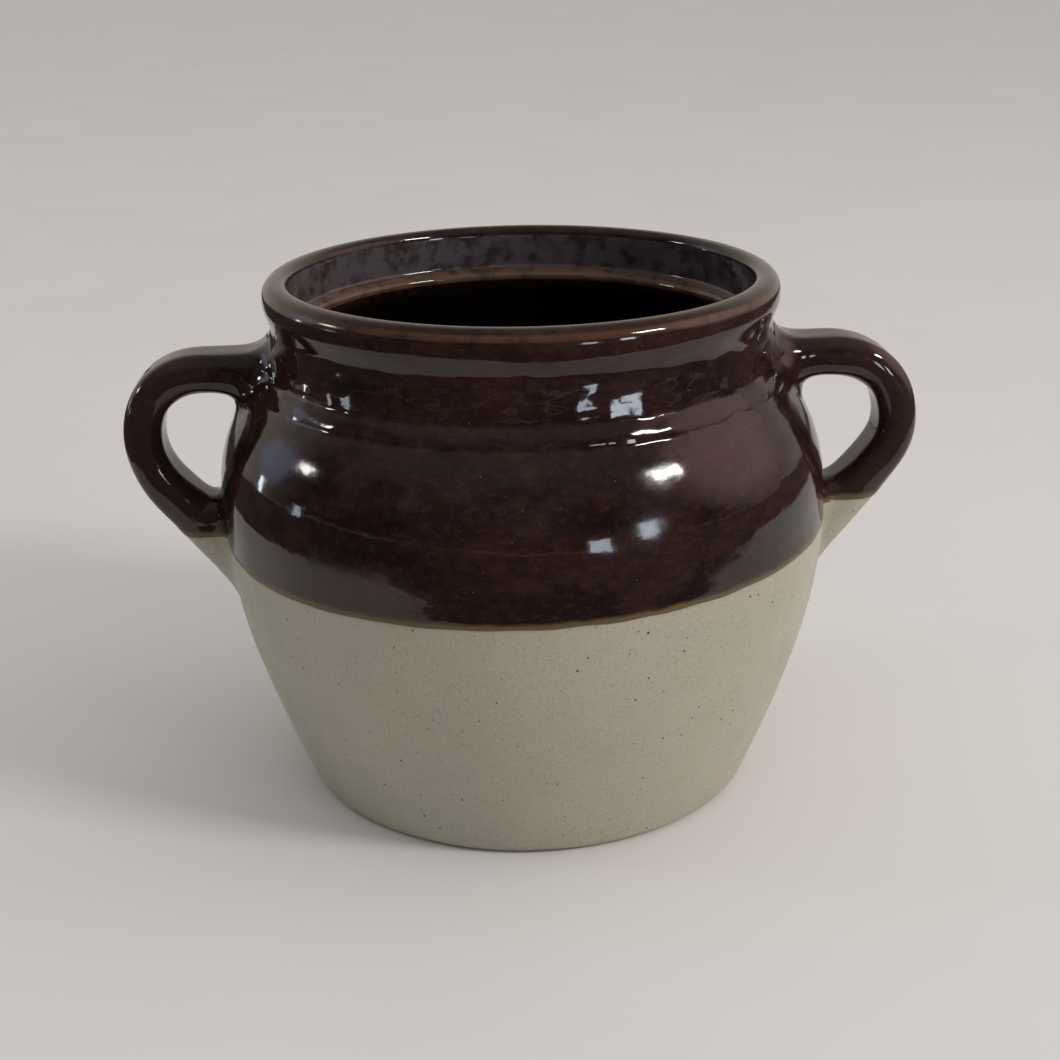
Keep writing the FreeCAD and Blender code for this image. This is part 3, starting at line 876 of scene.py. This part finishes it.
def make_counter_edge():
    """A dark card that only reflections see. It lies all round the pale counter that the crock stands
    on, so that the middle of the dark glaze does not mirror bright floor."""
    material = bpy.data.materials.new("dark card")
    material.use_nodes = True
    shader = material.node_tree.nodes["Principled BSDF"]
    shader.inputs["Base Color"].default_value = (0.045, 0.038, 0.036, 1.0)
    shader.inputs["Roughness"].default_value = 0.9
    counter = [(-0.26, 1.2), (-0.32, -0.05), (-0.235, -0.20), (-0.085, -0.22), (-0.02, -0.20),
               (0.20, -0.19), (0.36, -0.14), (0.49, 0.02), (0.45, 1.2)]
    outside = [(4.0, 1.2), (4.0, -4.0), (-4.0, -4.0), (-4.0, 1.2)]
    corners = [(x, y, 0.0005) for x, y in counter + outside]
    mesh = bpy.data.meshes.new("card")
    mesh.from_pydata(corners, [], [tuple(range(len(corners)))])
    mesh.materials.append(material)
    card = bpy.data.objects.new("card", mesh)
    card.visible_camera = card.visible_diffuse = card.visible_shadow = False
    bpy.context.collection.objects.link(card)


def make_world():
    """A quiet room: a pale wall behind the crock, a dim and uneven room in front, a soft ceiling, and
    paler places high on both sides."""
    world = bpy.data.worlds.new("room")
    world.use_nodes = True
    tree = world.node_tree
    place = tree.nodes.new("ShaderNodeTexCoord").outputs["Generated"]
    split = tree.nodes.new("ShaderNodeSeparateXYZ")
    tree.links.new(place, split.inputs[0])

    def share(value, low, high):
        made = tree.nodes.new("ShaderNodeMapRange")
        made.interpolation_type = "SMOOTHSTEP"
        tree.links.new(value, made.inputs[0])
        made.inputs[1].default_value, made.inputs[2].default_value = low, high
        return made.outputs[0]

    def mixed(amount, first, second):
        made = tree.nodes.new("ShaderNodeMix")
        made.data_type = "RGBA"
        for socket, value in ((made.inputs[0], amount), (made.inputs[6], first), (made.inputs[7], second)):
            if isinstance(value, bpy.types.NodeSocket):
                tree.links.new(value, socket)
            else:
                socket.default_value = (*value, 1.0)
        return made.outputs[2]

    def patch(direction, inner, outer):
        """1 within the inner angle of a direction, fading to 0 at the outer one."""
        dot = tree.nodes.new("ShaderNodeVectorMath")
        dot.operation = "DOT_PRODUCT"
        tree.links.new(place, dot.inputs[0])
        dot.inputs[1].default_value = Vector(direction).normalized()
        return share(dot.outputs["Value"], math.cos(math.radians(outer)), math.cos(math.radians(inner)))

    clutter = tree.nodes.new("ShaderNodeTexNoise")
    tree.links.new(place, clutter.inputs["Vector"])
    clutter.inputs["Scale"].default_value = 3.5
    front = mixed(share(clutter.outputs["Fac"], 0.35, 0.65), (0.045, 0.038, 0.042), (0.190, 0.155, 0.160))
    front = mixed(share(split.outputs[2], 0.0, 0.35), (0.035, 0.030, 0.030), front)
    walls = mixed(share(split.outputs[1], 0.0, 0.6), front, (0.55, 0.50, 0.44))
    room = mixed(share(split.outputs[2], 0.45, 0.85), walls, (0.25, 0.232, 0.225))
    room = mixed(patch((0.90, 0.02, 0.44), 8, 32), room, (1.15, 0.80, 0.76))
    room = mixed(patch((-0.89, 0.38, 0.25), 4, 13), room, (0.80, 0.85, 1.15))
    tree.links.new(room, tree.nodes["Background"].inputs[0])
    bpy.context.scene.world = world


def make_camera():
    camera = bpy.data.cameras.new("camera")
    camera.lens, camera.sensor_width = 61.37, 36.0
    camera.clip_end = 50.0
    eye = bpy.data.objects.new("camera", camera)
    right = Vector((0.99803, -0.06078, -0.01547))
    up = Vector((0.03531, 0.34079, 0.93948))
    back = right.cross(up)
    turn = Matrix((right, up, back)).transposed()
    eye.matrix_world = Matrix.Translation((-0.02653, -0.50631, 0.25653)) @ turn.to_4x4()
    bpy.context.collection.objects.link(eye)
    bpy.context.scene.camera = eye


clay, brown, buff = clay_material(), brown_glaze_material(), buff_glaze_material()
make_body(clay)
make_brown_coat(brown)
make_pale_coat(buff)
for strap in STRAPS:
    make_handle(strap, clay, brown, buff)
make_floor()
make_lights()
make_fill()
make_counter_edge()
make_world()
make_camera()
bpy.context.scene.view_settings.view_transform = "Standard"
